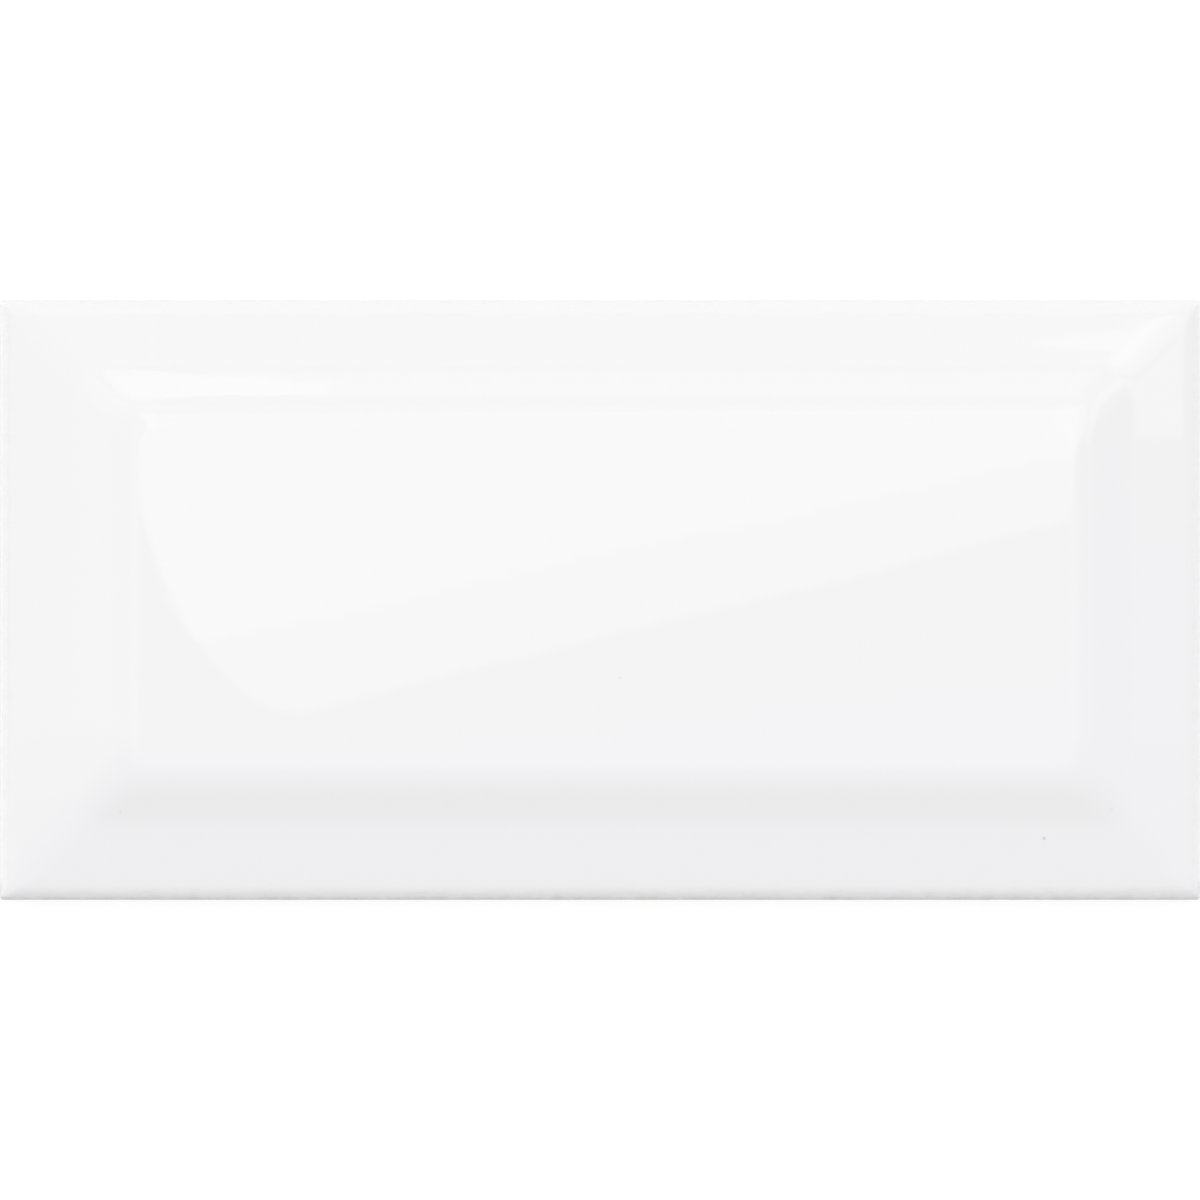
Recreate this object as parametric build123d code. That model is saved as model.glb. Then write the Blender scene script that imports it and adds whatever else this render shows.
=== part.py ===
from build123d import *
import os

# Beveled wall tile, glazed, pressed and fired as one piece.
# Millimetres. The back lies on Z=0 and the glazed face looks along +Z; X runs along the length.

# Outline and thickness of the whole tile.
LENGTH = 200.0
WIDTH = 100.0
THICKNESS = 8.0

# The rim, from the outer face inward: a land, a shallow slope, a steeper band, the flat plateau.
LAND_TOP = 4.6  # height where the land and the shallow slope would meet if they were sharp
OUTER_RUN = 13.0
OUTER_RISE = 1.6
INNER_RUN = 7.2
ARRIS_RADIUS = 2.6  # glaze draws back from the outer edge into this round
CREASE_RADIUS = 16.0  # hollow between the two slopes
CROWN_RADIUS = 22.0  # round where the steeper band runs out into the plateau
MITRE_RADIUS = 0.5

# The side of the biscuit below the land, drawn in so that it leaves the die.
DRAFT_HEIGHT = 1.6
DRAFT_INSET = 0.3
DRAFT_KNEE_RADIUS = 1.0
BACK_EDGE_RADIUS = 0.3

# Key on the back: square recesses with ribs between, which the adhesive grips.
# The ribs come from grooves milled straight across the punch, so the recesses have sharp corners.
KEY_PITCH = 13.2
KEY_RIB = 1.8
KEY_DEPTH = 0.7
KEY_DRAFT_ANGLE = 20.0
KEY_BORDER = 8.0  # least width of plain back left around the recesses

RIM_WIDTH = OUTER_RUN + INNER_RUN + 5.0  # past the crown, so that the rim ends on the flat plateau


def rim_section():
    """Section of the rim on the XY plane: X is measured from the outer face, Y is the height."""
    back_edge = (-DRAFT_INSET, 0)
    knee = (0, DRAFT_HEIGHT)
    arris = (0, LAND_TOP)
    crease = (-OUTER_RUN, LAND_TOP + OUTER_RISE)
    crown = (-OUTER_RUN - INNER_RUN, THICKNESS)
    rounds = [
        (knee, DRAFT_KNEE_RADIUS),
        (arris, ARRIS_RADIUS),
        (crease, CREASE_RADIUS),
        (crown, CROWN_RADIUS),
    ]
    with BuildSketch() as section:
        with BuildLine():
            Polyline((-RIM_WIDTH, 0), back_edge, knee, arris, crease, crown, (-RIM_WIDTH, THICKNESS), close=True)
        make_face()
        for corner, radius in rounds:
            fillet(section.vertices().sort_by_distance((*corner, 0))[0], radius)
    return section.sketch


def tile_blank():
    """The rim swept around the outline with mitred corners, and the slab inside it."""
    half_length = LENGTH / 2
    half_width = WIDTH / 2
    outline = Polyline(
        (half_length, 0),
        (half_length, half_width),
        (-half_length, half_width),
        (-half_length, -half_width),
        (half_length, -half_width),
        (half_length, 0),
    )
    section_plane = Plane(origin=(half_length, 0, 0), x_dir=(1, 0, 0), z_dir=(0, -1, 0))
    rim = sweep(section_plane * rim_section(), path=outline, transition=Transition.RIGHT)
    slab = Box(
        LENGTH - 2 * RIM_WIDTH,
        WIDTH - 2 * RIM_WIDTH,
        THICKNESS,
        align=(Align.CENTER, Align.CENTER, Align.MIN),
    )
    return rim + slab


def is_mitre(edge):
    """True for an edge that runs up a corner: it is equally far in from both neighbouring sides."""
    middle = edge.center()
    return abs((LENGTH / 2 - abs(middle.X)) - (WIDTH / 2 - abs(middle.Y))) < 0.01


def even_count(span):
    """Even number of recesses that fit in a span, so that two ribs cross at the middle of the back."""
    return 2 * int((span - 2 * KEY_BORDER + KEY_RIB) / (2 * KEY_PITCH))


def back_key():
    """All the recesses of the back as one tool, narrower at their floor than at their mouth."""
    mouth = KEY_PITCH - KEY_RIB
    with BuildSketch() as mouths:
        with GridLocations(KEY_PITCH, KEY_PITCH, even_count(LENGTH), even_count(WIDTH)):
            Rectangle(mouth, mouth)
    return extrude(mouths.sketch, amount=KEY_DEPTH, taper=KEY_DRAFT_ANGLE)


blank = tile_blank()
softened = fillet(blank.edges().filter_by(is_mitre), MITRE_RADIUS)
back_outline = softened.faces().sort_by(Axis.Z)[0].outer_wire()
rounded = fillet(back_outline.edges(), BACK_EDGE_RADIUS)
beveled_tile = rounded - back_key()
beveled_tile.label = "beveled_tile"

os.makedirs("parts", exist_ok=True)
export_step(beveled_tile, "parts/beveled_tile.step")
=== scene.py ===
import math

import bmesh
import bpy
from mathutils import Matrix, Vector, noise


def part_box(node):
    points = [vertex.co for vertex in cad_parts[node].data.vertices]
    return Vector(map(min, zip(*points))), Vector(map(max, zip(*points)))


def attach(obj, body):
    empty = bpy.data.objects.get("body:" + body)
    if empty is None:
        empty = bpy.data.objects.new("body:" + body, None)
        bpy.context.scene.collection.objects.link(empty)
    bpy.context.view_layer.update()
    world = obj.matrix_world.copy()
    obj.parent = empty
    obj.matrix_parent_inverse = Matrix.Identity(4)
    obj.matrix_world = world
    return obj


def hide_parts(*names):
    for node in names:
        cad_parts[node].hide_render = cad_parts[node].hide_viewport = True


# The tile lies on its back: X along the length, Y along the width, the glazed face looks up.
# Sizes are in metres and angles in radians, written with these units.
MM = 0.001
DEGREE = math.pi / 180

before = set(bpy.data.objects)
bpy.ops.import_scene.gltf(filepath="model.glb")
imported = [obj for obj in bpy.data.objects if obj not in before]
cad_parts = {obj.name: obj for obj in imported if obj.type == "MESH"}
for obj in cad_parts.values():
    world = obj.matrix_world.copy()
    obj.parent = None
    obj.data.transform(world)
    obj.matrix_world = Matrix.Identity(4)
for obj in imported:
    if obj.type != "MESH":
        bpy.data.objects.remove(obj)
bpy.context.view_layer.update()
tile_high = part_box("beveled_tile")[1]
HALF_LENGTH = tile_high.x
HALF_WIDTH = tile_high.y
THICKNESS = tile_high.z

# The rim's section, as in the solid.
LAND_TOP = 4.6 * MM
OUTER_RUN = 13.0 * MM
OUTER_RISE = 1.6 * MM
INNER_RUN = 7.2 * MM
ARRIS_RADIUS = 2.6 * MM
CREASE_RADIUS = 16.0 * MM
CROWN_RADIUS = 22.0 * MM
CORNER_RADIUS = 0.5 * MM
DRAFT_HEIGHT = 1.6 * MM
DRAFT_INSET = 0.3 * MM
BACK_EDGE_RADIUS = 0.3 * MM

# The key on the back, as in the solid.
KEY_PITCH = 13.2 * MM
KEY_RIB = 1.8 * MM
KEY_DEPTH = 0.7 * MM
KEY_DRAFT_ANGLE = 20 * DEGREE
KEY_BORDER = 8.0 * MM

# How far in from the outer edge the glaze softens the mitres at most.
MITRE_REACH = 5.0 * MM

# Warp of the fired face: long waves, and short ones that are lower. It fades out at the outer edge.
# Its top lies above the highest sum of the waves, so that the face only sags, and its span scales them.
# The slices, here and below, are places in the noise, so that the two waves and the four sides differ.
WARP_HEIGHT = 0.03 * MM
WARP_LENGTH = 42 * MM
WARP_SLICE = 0.13
SHORT_WARP_LENGTH = WARP_LENGTH / 3
SHORT_WARP_DIVISOR = 7
SHORT_WARP_SLICE = 0.09
WARP_TOP = 1.2
WARP_SPAN = 2
WARP_FADE = 4 * MM

# Ripples where the glaze has drawn back along the outer edge: fine ones on slow, weaker ones.
RIPPLE_HEIGHT = 0.3 * MM
RIPPLE_LENGTH = 1.9 * MM
SLOW_RIPPLE_LENGTH = 3.3 * RIPPLE_LENGTH
SLOW_RIPPLE_SHARE = 0.6
RIPPLE_TOP = 1.4
RIPPLE_SPAN = 2.8
RIPPLE_INSET = 1.0 * MM
RIPPLE_WIDTH = 1.0 * MM
SIDE_SLICE = 0.01
LONG_SIDE_SLICE = 0.05

# Glaze over the pressed rim: pooled in the crease, thinner towards the outer edge.
POOL_DEPTH = 0.02 * MM
POOL_WIDTH = 2.2 * MM
THINNING = 0.1 * MM
THINNING_REACH = 3.0 * MM

# The raised field sits a little nearer to the back and the right than to the other two edges.
BACK_NARROWER = 1.5 * MM
RIGHT_NARROWER = 1.0 * MM

# Spacing of the mesh: fine from the outer edge to past the crown, wider on the flat field.
ARRIS_STEPS = 11
FINE_RIM = 26 * MM
RIM_STEP = 0.5 * MM
FIELD_STEP = 0.62 * MM
BACK_ROUND_STEPS = 3
BACK_MARGIN = 0.2 * MM
SHARP_ANGLE = 35 * DEGREE

# The photograph shows the face from straight above, with the tile as wide as the picture.
PHOTO_SIZE = 1200
PHOTO_TILE_LENGTH = 1200
CAMERA_HEIGHT = 1.2
SENSOR_WIDTH = 36.0


class Round:
    """A rounded corner of the section, between a slope before it and a slope after it.

    Insets are measured inward from the outer face, heights upward from the back.
    """

    def __init__(self, inset, height, before, after, radius):
        tangent = radius * math.tan(abs(after - before) / 2)
        self.radius = radius
        self.turn = 1 if after > before else -1
        self.start = inset - tangent * math.cos(before)
        self.end = inset + tangent * math.cos(after)
        self.centre = self.start - self.turn * radius * math.sin(before)
        self.centre_height = height - tangent * math.sin(before) + self.turn * radius * math.cos(before)

    def height(self, inset):
        across = inset - self.centre
        return self.centre_height - self.turn * math.sqrt(max(self.radius**2 - across**2, 0))


def section_rounds():
    """The arris, the crease and the crown, from the outer edge inward."""
    crease_height = LAND_TOP + OUTER_RISE
    outer_angle = math.atan2(OUTER_RISE, OUTER_RUN)
    inner_angle = math.atan2(THICKNESS - crease_height, INNER_RUN)
    arris = Round(0, LAND_TOP, math.pi / 2, outer_angle, ARRIS_RADIUS)
    crease = Round(OUTER_RUN, crease_height, outer_angle, inner_angle, CREASE_RADIUS)
    crown = Round(OUTER_RUN + INNER_RUN, THICKNESS, inner_angle, 0, CROWN_RADIUS)
    return [arris, crease, crown]


ROUNDS = section_rounds()
ARRIS = ROUNDS[0]


def rim_height(inset):
    """Height of the pressed face at a distance in from the outer edge."""
    last = None
    for corner in ROUNDS:
        if last and inset < corner.start:
            low = last.height(last.end)
            high = corner.height(corner.start)
            return low + (high - low) * (inset - last.end) / (corner.start - last.end)
        if inset <= corner.end:
            return corner.height(inset)
        last = corner
    return THICKNESS


def soft_min(inset_x, inset_y):
    """The smaller of two insets, eased along the mitre, which the glaze softens."""
    nearest = min(inset_x, inset_y)
    reach = min(MITRE_REACH, nearest)
    if reach <= 0:
        return nearest
    blend = max(reach - abs(inset_x - inset_y), 0) / reach
    return nearest - blend * blend * reach / 4


def warp(x, y):
    """What the warp adds to the height of the pressed face, which is never more than nothing."""
    long_wave = noise.noise(Vector((x, y, WARP_SLICE)) / WARP_LENGTH)
    short_wave = noise.noise(Vector((x, y, SHORT_WARP_SLICE)) / SHORT_WARP_LENGTH) / SHORT_WARP_DIVISOR
    return WARP_HEIGHT * (long_wave + short_wave - WARP_TOP) / WARP_SPAN


def edge_ripple(x, y, inset):
    """What the ripples add to the height near the outer edge. Each side has its own slice of the noise."""
    on_long_side = HALF_WIDTH - abs(y) < HALF_LENGTH - abs(x)
    along = x if on_long_side else y
    side = math.copysign(SIDE_SLICE, y if on_long_side else x) + (LONG_SIDE_SLICE if on_long_side else 0)
    fine = noise.noise(Vector((along, side, inset / 2)) / RIPPLE_LENGTH)
    slow = noise.noise(Vector((along, side, 0)) / SLOW_RIPPLE_LENGTH)
    place = (inset - RIPPLE_INSET) / RIPPLE_WIDTH
    ripple = (fine + SLOW_RIPPLE_SHARE * slow - RIPPLE_TOP) / RIPPLE_SPAN
    return RIPPLE_HEIGHT * ripple * math.exp(-place * place)


def glaze_level(inset):
    """How the glaze lies over the pressed rim: pooled in the crease, thinner towards the outer edge."""
    place = (inset - OUTER_RUN) / POOL_WIDTH
    return POOL_DEPTH * math.exp(-place * place) - THINNING * math.exp(-inset / THINNING_REACH)


def round_corner(x, y):
    """Moves a point of the plan near one of its four corners onto the corner's round."""
    past_x = abs(x) - (HALF_LENGTH - CORNER_RADIUS)
    past_y = abs(y) - (HALF_WIDTH - CORNER_RADIUS)
    if past_x <= 0 or past_y <= 0:
        return x, y
    scale = max(past_x, past_y) / math.hypot(past_x, past_y)
    round_x = HALF_LENGTH - CORNER_RADIUS + past_x * scale
    round_y = HALF_WIDTH - CORNER_RADIUS + past_y * scale
    return math.copysign(round_x, x), math.copysign(round_y, y)


def narrowed(inset, amount):
    """The place in the even section for a place in a margin that is narrower by the amount."""
    share = min(max(inset / ARRIS_RADIUS, 0), 1)
    return inset + amount * share * share * (3 - 2 * share)


def face_point(x, y):
    """The point of the glazed face over a point of the plan."""
    inset_x = HALF_LENGTH - abs(x)
    inset_y = HALF_WIDTH - abs(y)
    inset = min(inset_x, inset_y)
    eased = soft_min(
        narrowed(inset_x, RIGHT_NARROWER if x > 0 else 0),
        narrowed(inset_y, BACK_NARROWER if y > 0 else 0),
    )
    height = rim_height(eased) + glaze_level(eased)
    height += min(inset / WARP_FADE, 1) * warp(x, y)
    if inset > 0:
        height += edge_ripple(x, y, inset)
    return (*round_corner(x, y), height)


def mesh_lines(half):
    """Coordinates of the mesh lines across a span from -half to half."""
    arris_angle = math.acos((ARRIS.centre - ARRIS.end) / ARRIS.radius)
    angles = [arris_angle * step / ARRIS_STEPS for step in range(ARRIS_STEPS)]
    insets = [ARRIS.radius * (1 - math.cos(angle)) for angle in angles]
    rim_count = round((FINE_RIM - ARRIS.end) / RIM_STEP)
    insets += [ARRIS.end + (FINE_RIM - ARRIS.end) * step / rim_count for step in range(rim_count)]
    field = half - FINE_RIM
    field_count = 2 * round(field / FIELD_STEP)
    lines = [-half + inset for inset in insets]
    lines += [-field + 2 * field * step / field_count for step in range(field_count + 1)]
    lines += [half - inset for inset in reversed(insets)]
    return lines


def side_rings():
    """Inset and height of each line of points around the sides, from the land down to the back."""
    draft = math.atan2(DRAFT_INSET, DRAFT_HEIGHT)
    round_height = BACK_EDGE_RADIUS * (1 + math.sin(draft))
    round_inset = DRAFT_INSET * (1 - round_height / DRAFT_HEIGHT)
    rings = [(0, (ARRIS.centre_height + DRAFT_HEIGHT) / 2), (0, DRAFT_HEIGHT)]
    for step in range(BACK_ROUND_STEPS + 1):
        angle = math.pi / 2 * step / BACK_ROUND_STEPS
        inset = round_inset + BACK_EDGE_RADIUS * (1 - math.cos(angle))
        rings.append((inset, round_height * (1 - math.sin(angle))))
    rings.append((round_inset + BACK_EDGE_RADIUS + BACK_MARGIN, 0))
    return rings


def inward(x, y, inset):
    """Moves a point of the outline inward, square to the outline."""
    across = Vector((
        math.copysign(max(abs(x) - (HALF_LENGTH - CORNER_RADIUS), 0), x),
        math.copysign(max(abs(y) - (HALF_WIDTH - CORNER_RADIUS), 0), y),
    ))
    across.normalize()
    return x - across.x * inset, y - across.y * inset


def key_lines(half):
    """Coordinates of the recesses' mouths along one axis, two to each recess."""
    count = 2 * int((2 * half - 2 * KEY_BORDER + KEY_RIB) / (2 * KEY_PITCH))
    half_mouth = (KEY_PITCH - KEY_RIB) / 2
    centres = [(number - (count - 1) / 2) * KEY_PITCH for number in range(count)]
    return [centre + side * half_mouth for centre in centres for side in (-1, 1)]


def grid_sides(grid):
    """The four sides of a grid of points, anticlockwise from its lowest corner."""
    front = [column[0] for column in grid]
    right = grid[-1]
    back = [column[-1] for column in reversed(grid)]
    left = list(reversed(grid[0]))
    return [front, right, back, left]


class Surface:
    """Points and faces of one closed mesh."""

    def __init__(self):
        self.points = []
        self.faces = []

    def point(self, x, y, z):
        self.points.append(Vector((x, y, z)))
        return len(self.points) - 1

    def grid(self, xs, ys, place):
        return [[self.point(*place(x, y)) for y in ys] for x in xs]

    def stitch(self, outer, inner):
        """Triangles between two lines of points that run the same way."""
        way = (self.points[outer[-1]] - self.points[outer[0]]).normalized()
        i = 0
        j = 0
        while i < len(outer) - 1 or j < len(inner) - 1:
            if i == len(outer) - 1:
                outer_next = False
            elif j == len(inner) - 1:
                outer_next = True
            else:
                outer_next = way.dot(self.points[outer[i + 1]] - self.points[inner[j + 1]]) < 0
            if outer_next:
                self.faces.append((outer[i + 1], outer[i], inner[j]))
                i += 1
            else:
                self.faces.append((outer[i], inner[j], inner[j + 1]))
                j += 1


def add_face(surface):
    """The glazed face. Returns the four sides of its outer edge."""
    xs = mesh_lines(HALF_LENGTH)
    ys = mesh_lines(HALF_WIDTH)
    grid = surface.grid(xs, ys, face_point)
    for i in range(len(xs) - 1):
        for j in range(len(ys) - 1):
            surface.faces.append((grid[i][j], grid[i + 1][j], grid[i + 1][j + 1], grid[i][j + 1]))
    return grid_sides(grid)


def add_sides(surface, sides):
    """The land, the draft and the round of the back edge. Returns the four sides of the back."""
    edge = [number for side in sides for number in side[:-1]]
    upper = edge
    for inset, height in side_rings():
        places = [inward(surface.points[number].x, surface.points[number].y, inset) for number in edge]
        lower = [surface.point(x, y, height) for x, y in places]
        for here in range(len(edge)):
            after = (here + 1) % len(edge)
            surface.faces.append((upper[here], lower[here], lower[after], upper[after]))
        upper = lower
    ring = upper + upper[:1]
    starts = [0]
    for side in sides:
        starts.append(starts[-1] + len(side) - 1)
    return [ring[start : end + 1] for start, end in zip(starts, starts[1:])]


def add_recess(surface, mouth, low_x, high_x, low_y, high_y):
    """The floor of one recess, at the given sides of it, and the four walls up to its mouth."""
    plan = [(low_x, low_y), (low_x, high_y), (high_x, high_y), (high_x, low_y)]
    floor = [surface.point(x, y, KEY_DEPTH) for x, y in plan]
    surface.faces.append(floor)
    for here in range(4):
        after = (here + 1) % 4
        surface.faces.append((mouth[here], mouth[after], floor[after], floor[here]))


def add_back(surface, sides):
    """The ribs and recesses of the back, and the plain border around them."""
    xs = key_lines(HALF_LENGTH)
    ys = key_lines(HALF_WIDTH)
    grid = surface.grid(xs, ys, lambda x, y: (x, y, 0))
    for outer, inner in zip(sides, grid_sides(grid)):
        surface.stitch(outer, inner)
    draft = KEY_DEPTH * math.tan(KEY_DRAFT_ANGLE)
    for i in range(len(xs) - 1):
        for j in range(len(ys) - 1):
            cell = [grid[i][j], grid[i][j + 1], grid[i + 1][j + 1], grid[i + 1][j]]
            if i % 2 or j % 2:
                surface.faces.append(cell)
            else:
                add_recess(surface, cell, xs[i] + draft, xs[i + 1] - draft, ys[j] + draft, ys[j + 1] - draft)


def build_tile():
    """The whole tile as one closed mesh: the face, the sides and the back."""
    surface = Surface()
    sides = add_face(surface)
    back_sides = add_sides(surface, sides)
    add_back(surface, back_sides)
    mesh = bpy.data.meshes.new("glazed_tile")
    mesh.from_pydata(surface.points, [], surface.faces)
    shape = bmesh.new()
    shape.from_mesh(mesh)
    bmesh.ops.recalc_face_normals(shape, faces=shape.faces)
    shape.to_mesh(mesh)
    shape.free()
    mesh.polygons.foreach_set("use_smooth", [True] * len(mesh.polygons))
    mesh.set_sharp_from_angle(angle=SHARP_ANGLE)
    tile = bpy.data.objects.new("glazed_tile", mesh)
    bpy.context.scene.collection.objects.link(tile)
    return tile


class Shader:
    """Adds nodes to a material or world and links them."""

    def __init__(self, owner):
        owner.use_nodes = True
        self.tree = owner.node_tree
        self.tree.nodes.clear()

    def add(self, kind, inputs=None, **settings):
        node = self.tree.nodes.new("ShaderNode" + kind)
        for name, value in settings.items():
            setattr(node, name, value)
        for name, value in (inputs or {}).items():
            self.set(node.inputs[name], value)
        return node

    def set(self, socket, value):
        if isinstance(value, bpy.types.NodeSocket):
            self.tree.links.new(value, socket)
        else:
            socket.default_value = value

    def math(self, operation, *values):
        node = self.add("Math", operation=operation)
        for socket, value in zip(node.inputs, values):
            self.set(socket, value)
        return node.outputs[0]

    def vector_math(self, operation, first, second):
        node = self.add("VectorMath", operation=operation)
        self.set(node.inputs[0], first)
        self.set(node.inputs[1], second)
        return node.outputs

    def mix(self, share, first, second):
        """A colour between two colours."""
        node = self.add("Mix", data_type="RGBA")
        self.set(node.inputs[0], share)
        self.set(node.inputs[6], first)
        self.set(node.inputs[7], second)
        return node.outputs[2]

    def blend(self, share, first, second):
        """A number between two numbers."""
        node = self.add("Mix", data_type="FLOAT")
        self.set(node.inputs[0], share)
        self.set(node.inputs[2], first)
        self.set(node.inputs[3], second)
        return node.outputs[0]

    def between(self, value, low, high):
        """0 where the value is at its low end, 1 at its high end, eased between them."""
        inputs = {"Value": value, "From Min": low, "From Max": high}
        return self.add("MapRange", inputs, interpolation_type="SMOOTHSTEP").outputs[0]

    def mottle(self, place, scale, detail):
        """Uneven from 0 to 1 from place to place."""
        return self.add("TexNoise", {"Vector": place, "Scale": scale, "Detail": detail}).outputs["Fac"]

    def seen_directly(self):
        """1 where it is seen, also mirrored or through glass, and 0 where it only lights a surface."""
        path = self.add("LightPath").outputs
        seen = self.math("MAXIMUM", path["Is Camera Ray"], path["Is Glossy Ray"])
        return self.math("MAXIMUM", seen, path["Is Transmission Ray"])


# White glaze, with painted light that makes it a trace lighter on the outer edge, painted shade on the front
# edge, and the clay under it.
GLAZE_COLOUR = (0.90, 0.90, 0.90, 1)
PAINTED_EDGE_LIGHT_COLOUR = (0.915, 0.915, 0.915, 1)
FRONT_EDGE_SHADE_COLOUR = (0.68, 0.68, 0.70, 1)
PINHOLE_COLOUR = (0.72, 0.71, 0.69, 1)
CLAY_COLOUR = (0.74, 0.70, 0.64, 1)
PALE_CLAY_COLOUR = (0.82, 0.79, 0.74, 1)
GLAZE_ROUGHNESS = 0.014
CLAY_ROUGHNESS = 0.85
GLAZE_IOR = 1.5

# Fine relief: how high it is, and how dense and how detailed its noise is.
ORANGE_PEEL = 0.0004 * MM
ORANGE_PEEL_SCALE = 200.0
ORANGE_PEEL_DETAIL = 1.0
CLAY_GRAIN = 0.12 * MM
CLAY_GRAIN_SCALE = 1800.0
CLAY_GRAIN_DETAIL = 5.0
EDGE_RUNS = 0.22 * MM
EDGE_RUNS_SCALE = 420.0
EDGE_RUNS_DETAIL = 3.0

# Heights on the outer edge: where the glaze stops, and between which the painted light on the edge fades out
# upward into the face's colour.
GLAZE_LINE = 1.9 * MM
GLAZE_LINE_EASE = 0.1 * MM
EDGE_LIGHT_FROM = 2.4 * MM
EDGE_LIGHT_TO = 4.8 * MM

# Lines on the edge wander by this much from their lowest to their highest places.
WANDER = 1.6 * MM

# Runs in the glaze of the outer edge end at the first height and are full below the second.
EDGE_RUNS_TOP = 4.9 * MM
EDGE_RUNS_FULL = 4.3 * MM

# Painted shade along the front long edge, up to an uneven line.
FRONT_SHADE_BAND = 4.0 * MM
FRONT_SHADE_TO = 3.3 * MM
FRONT_EASE = 0.8 * MM

# Pinholes in the glaze: place on the face and radius in millimetres, and how dark each one is.
PINHOLES = [
    (73.8, -39.6, 0.42, 1.0),
    (84.9, -34.8, 0.35, 0.35),
    (-79.6, -35.2, 0.35, 0.3),
    (3.3, -12.9, 0.35, 0.35),
]
PINHOLE_FLOOR = 0.4  # share of the radius within which a pinhole is darkest


def pinhole_mask(shader, place):
    """How dark the pinholes are at each place, and 0 elsewhere."""
    plan = shader.vector_math("MULTIPLY", place, (1, 1, 0))["Vector"]
    mask = None
    for x, y, radius, depth in PINHOLES:
        apart = shader.vector_math("DISTANCE", plan, (x * MM, y * MM, 0))["Value"]
        inside = shader.between(apart, radius * MM, PINHOLE_FLOOR * radius * MM)
        spot = shader.math("MULTIPLY", inside, depth)
        mask = spot if mask is None else shader.math("MAXIMUM", mask, spot)
    return mask


def glaze_tone(shader, place, across, height, ragged):
    """Colour of the glaze: painted light a trace lighter on the outer edge, painted shade along the front
    edge, dark in the pinholes.
    """
    past_edge_light = shader.between(height, EDGE_LIGHT_FROM, EDGE_LIGHT_TO)
    pinhole = pinhole_mask(shader, place)
    # Painted light: the glaze is a trace lighter low on the outer edge, all round.
    tone = shader.mix(past_edge_light, PAINTED_EDGE_LIGHT_COLOUR, GLAZE_COLOUR)
    # Painted shade: the front long edge is darker, up to an uneven line.
    front = shader.between(across, FRONT_SHADE_BAND - HALF_WIDTH, FRONT_SHADE_BAND / 2 - HALF_WIDTH)
    shade_line = FRONT_SHADE_TO + WANDER / 2
    below = shader.between(ragged, shade_line + FRONT_EASE, shade_line - FRONT_EASE)
    tone = shader.mix(shader.math("MULTIPLY", front, below), tone, FRONT_EDGE_SHADE_COLOUR)
    return shader.mix(pinhole, tone, PINHOLE_COLOUR)


def glazed_clay():
    """White gloss glaze over the face and upper sides, bare fired clay below and behind."""
    material = bpy.data.materials.new("glazed_clay")
    shader = Shader(material)
    place = shader.add("TexCoord").outputs["Object"]
    axes = shader.add("SeparateXYZ", {"Vector": place}).outputs
    peel = shader.mottle(place, ORANGE_PEEL_SCALE, ORANGE_PEEL_DETAIL)
    grain = shader.mottle(place, CLAY_GRAIN_SCALE, CLAY_GRAIN_DETAIL)
    runs = shader.mottle(place, EDGE_RUNS_SCALE, EDGE_RUNS_DETAIL)
    ragged = shader.math("MULTIPLY_ADD", runs, WANDER, axes["Z"])
    glaze_line = GLAZE_LINE + WANDER / 2
    glazed = shader.between(ragged, glaze_line - GLAZE_LINE_EASE, glaze_line + GLAZE_LINE_EASE)
    tone = glaze_tone(shader, place, axes["Y"], axes["Z"], ragged)
    clay_tone = shader.mix(grain, CLAY_COLOUR, PALE_CLAY_COLOUR)
    edge = shader.math("MULTIPLY", runs, shader.between(axes["Z"], EDGE_RUNS_TOP, EDGE_RUNS_FULL))
    relief = shader.math("MULTIPLY_ADD", edge, EDGE_RUNS, shader.math("MULTIPLY", peel, ORANGE_PEEL))
    clay_relief = shader.math("MULTIPLY", grain, CLAY_GRAIN)
    bump = shader.add("Bump", {"Distance": 1.0, "Height": shader.blend(glazed, clay_relief, relief)})
    surface = shader.add(
        "BsdfPrincipled",
        {
            "Base Color": shader.mix(glazed, clay_tone, tone),
            "Roughness": shader.blend(glazed, CLAY_ROUGHNESS, GLAZE_ROUGHNESS),
            "IOR": GLAZE_IOR,
            "Normal": bump.outputs["Normal"],
        },
    )
    shader.add("OutputMaterial", {"Surface": surface.outputs["BSDF"]})
    return material


# Light from the world by direction: bright overhead and at both ends, fair behind the tile, dim in front.
WORLD_BASE = 0.062
WORLD_SLOPE = Vector((-0.094, 0.422, 0.855))
WORLD_ENDS = 1.401

# The floor throws light back by its colour. What is seen of it is a glow and a shaded colour, white
# in all, of which only the second takes the tile's shadow.
FLOOR_REACH = 4.0
FLOOR_COLOUR = (0.8, 0.8, 0.8, 1)
FLOOR_SHADED_COLOUR = (0.25, 0.25, 0.25, 1)
FLOOR_GLOW = 0.8
WHITE = (1, 1, 1, 1)


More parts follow.
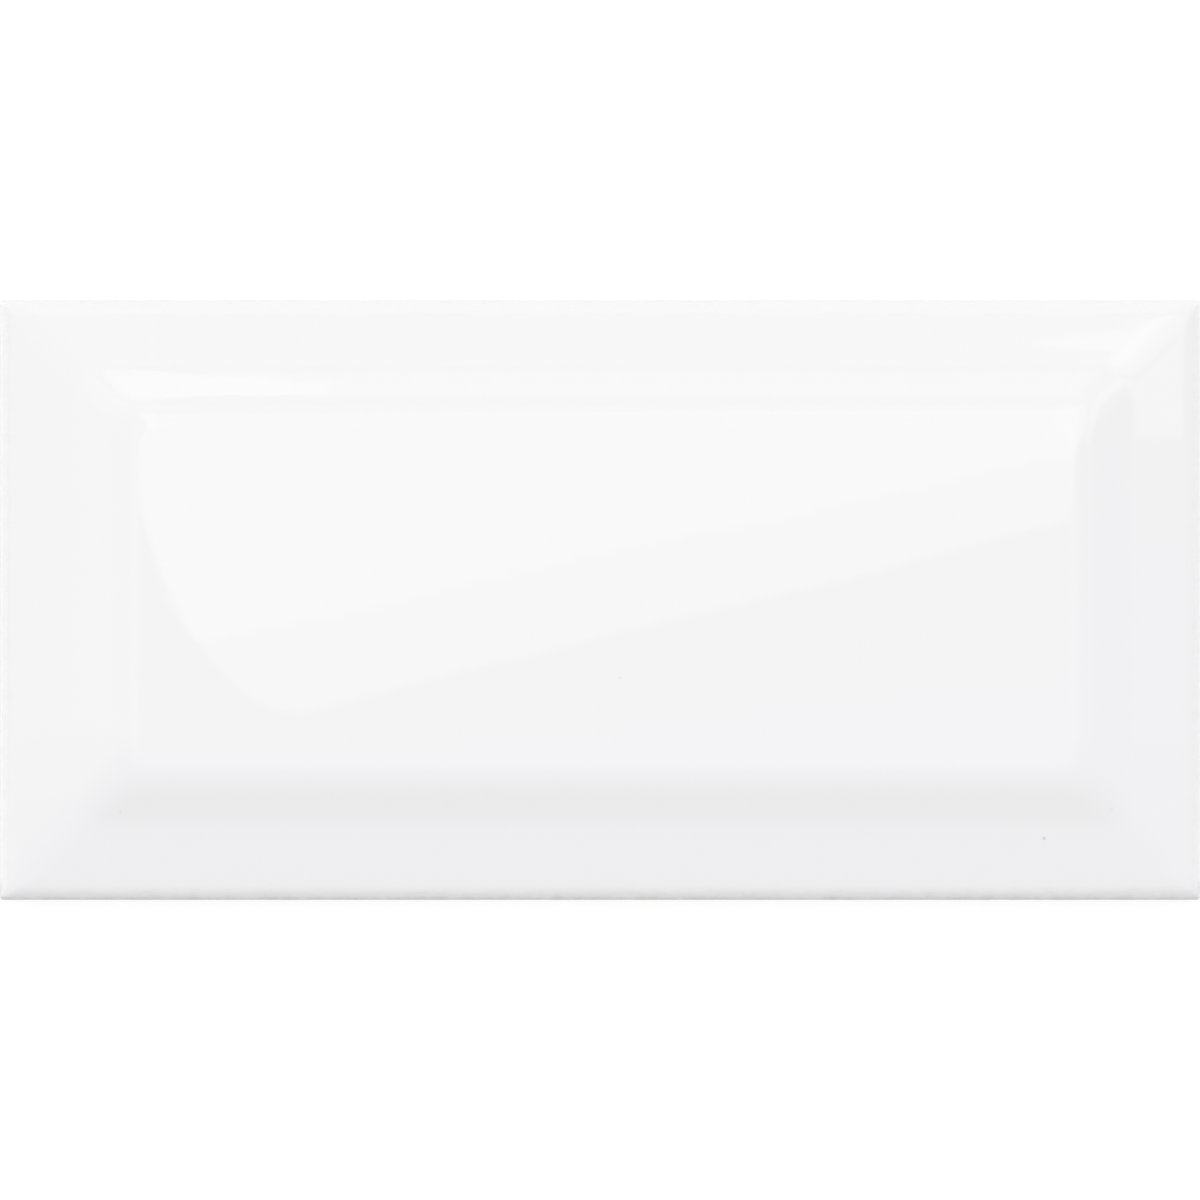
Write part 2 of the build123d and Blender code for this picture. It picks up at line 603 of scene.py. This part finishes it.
def overhead_light(name, radiance, patches, height, corner, turn=0):
    """A soft light over the tile that is only seen mirrored and adds no diffuse light.

    The flat field mirrors the light's own origin at `corner`, in millimetres. Each patch has the
    place of its front left corner in the light's plane, its size and its shape. Where patches or
    lights of the same height overlap they don't add up, and lights of different heights do.
    """
    level = max(radiance)
    scale = 1 + (height - THICKNESS) / (CAMERA_HEIGHT - THICKNESS)
    origin = Vector((*corner, 0)) * scale * MM
    turned = Matrix.Rotation(turn, 4, "Z")
    for left, front, size_x, size_y, shape in patches:
        data = bpy.data.lights.new(name, "AREA")
        data.shape = shape
        data.size = size_x
        data.size_y = size_y
        data.color = [channel / level for channel in radiance]
        area = size_x * size_y * (math.pi / 4 if shape == "ELLIPSE" else 1)
        data.energy = level * math.pi * area
        lamp = bpy.data.objects.new(name, data)
        middle = origin + turned @ Vector((left + size_x / 2, front + size_y / 2, 0))
        lamp.matrix_world = Matrix.Translation((middle.x, middle.y, height)) @ turned
        lamp.visible_diffuse = False
        bpy.context.scene.collection.objects.link(lamp)


def oblong(size_x, size_y, left=0, front=0):
    """One rectangular patch of a light."""
    return [(left, front, size_x, size_y, "RECTANGLE")]


def rounded_oblong(size_x, size_y, round_x, round_y):
    """An oblong whose front left corner is rounded."""
    return [
        *oblong(size_x - round_x, size_y, left=round_x),
        *oblong(2 * round_x, size_y - round_y, front=round_y),
        (0, 0, 2 * round_x, 2 * round_y, "ELLIPSE"),
    ]


def grey(level):
    return level, level, level


def blue(level):
    return 0, 0, level


def field_lights():
    """The zones on the flat field, and the light tongue on the back slope at the right."""
    field = rounded_oblong(0.72, 0.495, 0.0169, 0.0984)
    halo = rounded_oblong(0.8236, 0.553, 0.0496, 0.1056)
    overhead_light("field_fill", grey(0.37), oblong(0.8, 0.5), height=2.1, corner=(-145, -90))
    overhead_light("field_softbox", grey(0.43), field, height=2.0, corner=(-71.9, -8.3), turn=12 * DEGREE)
    overhead_light("field_halo", grey(0.61), halo, height=1.9, corner=(-66.7, -23.1), turn=14 * DEGREE)


def slope_lights():
    """The streak on the back slope, the ridge at the back right corner, and fills that even the slopes."""
    softbox = oblong(0.3, 0.27)
    strip = oblong(0.185, 0.08)
    right = oblong(0.52, 0.39) + oblong(0.409, 0.217, left=0.111, front=0.39)
    overhead_light("back_softbox", grey(0.6), softbox, height=1.8, corner=(-203.9, 348.4), turn=-10 * DEGREE)
    overhead_light("back_strip", grey(0.6), strip, height=1.8, corner=(-119.8, 398.1), turn=13 * DEGREE)
    overhead_light("right_softbox", grey(0.6), oblong(0.16, 0.53), height=1.7, corner=(248.0, 28.1))
    overhead_light("back_fill", grey(0.37), oblong(0.449, 0.199), height=1.4, corner=(-77, 168))
    overhead_light("far_back_fill", grey(0.25), oblong(0.56, 0.33), height=1.4, corner=(-130, 366))
    overhead_light("right_fill", grey(0.2), right, height=1.4, corner=(80, -24))
    overhead_light("left_fill", grey(0.21), oblong(1.412, 0.947), height=2.3, corner=(-560, -24))
    overhead_light("left_fill_edge", grey(0.21), oblong(1.314, 0.948), height=2.2, corner=(-540, -34))


def cool_lights():
    """A little blue over the front of the face, reaching further back at the right, with a soft edge."""
    cool = oblong(2.05, 0.62) + oblong(0.5, 0.365, front=0.3)
    edge = oblong(2.0, 0.55)
    overhead_light("cool_fill", blue(0.18), cool, height=1.6, corner=(-324, -302), turn=5.5 * DEGREE)
    overhead_light("cool_fill_edge", blue(0.16), edge, height=1.5, corner=(-325, -305), turn=6.5 * DEGREE)


def studio_world():
    """White where it is seen or mirrored, while the light that it throws depends on the direction."""
    world = bpy.data.worlds.new("studio")
    bpy.context.scene.world = world
    shader = Shader(world)
    seen = shader.seen_directly()
    way = shader.add("TexCoord").outputs["Generated"]
    slope = shader.vector_math("DOT_PRODUCT", way, WORLD_SLOPE)["Value"]
    along = shader.add("SeparateXYZ", {"Vector": way}).outputs["X"]
    ends = shader.math("MULTIPLY_ADD", shader.math("MULTIPLY", along, along), WORLD_ENDS, WORLD_BASE)
    lit = shader.math("MAXIMUM", shader.math("ADD", slope, ends), 0.0)
    background = shader.add("Background", {"Color": WHITE, "Strength": shader.blend(seen, lit, 1.0)})
    shader.add("OutputWorld", {"Surface": background.outputs[0]})


def floor_paper():
    """White to the camera and in reflections, with the tile's faint shadow on it."""
    material = bpy.data.materials.new("white_floor")
    shader = Shader(material)
    seen = shader.seen_directly()
    paper = shader.add("BsdfDiffuse", {"Color": FLOOR_COLOUR})
    faint = shader.add("BsdfDiffuse", {"Color": FLOOR_SHADED_COLOUR})
    glow = shader.add("Emission", {"Color": WHITE, "Strength": FLOOR_GLOW})
    shown = shader.add("AddShader")
    shader.set(shown.inputs[0], faint.outputs[0])
    shader.set(shown.inputs[1], glow.outputs[0])
    surface = shader.add("MixShader", {"Fac": seen})
    shader.set(surface.inputs[1], paper.outputs[0])
    shader.set(surface.inputs[2], shown.outputs[0])
    shader.add("OutputMaterial", {"Surface": surface.outputs[0]})
    return material


def white_floor():
    """The plain floor under the tile."""
    mesh = bpy.data.meshes.new("floor")
    low = -FLOOR_REACH
    high = FLOOR_REACH
    corners = [(low, low, 0), (high, low, 0), (high, high, 0), (low, high, 0)]
    mesh.from_pydata(corners, [], [(0, 1, 2, 3)])
    mesh.materials.append(floor_paper())
    floor = bpy.data.objects.new("floor", mesh)
    bpy.context.scene.collection.objects.link(floor)


def place_camera():
    """Straight above the middle, with the tile's outer edge as wide as in the photograph."""
    data = bpy.data.cameras.new("camera")
    data.sensor_width = SENSOR_WIDTH
    shown_width = 2 * HALF_LENGTH * PHOTO_SIZE / PHOTO_TILE_LENGTH
    data.lens = data.sensor_width * (CAMERA_HEIGHT - ARRIS.centre_height) / shown_width
    camera = bpy.data.objects.new("camera", data)
    camera.location = (0, 0, CAMERA_HEIGHT)
    bpy.context.scene.collection.objects.link(camera)
    bpy.context.scene.camera = camera


tile = build_tile()
tile.data.materials.append(glazed_clay())
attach(tile, "root")
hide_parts("beveled_tile")
white_floor()
field_lights()
slope_lights()
cool_lights()
studio_world()
place_camera()
bpy.context.scene.view_settings.view_transform = "Standard"
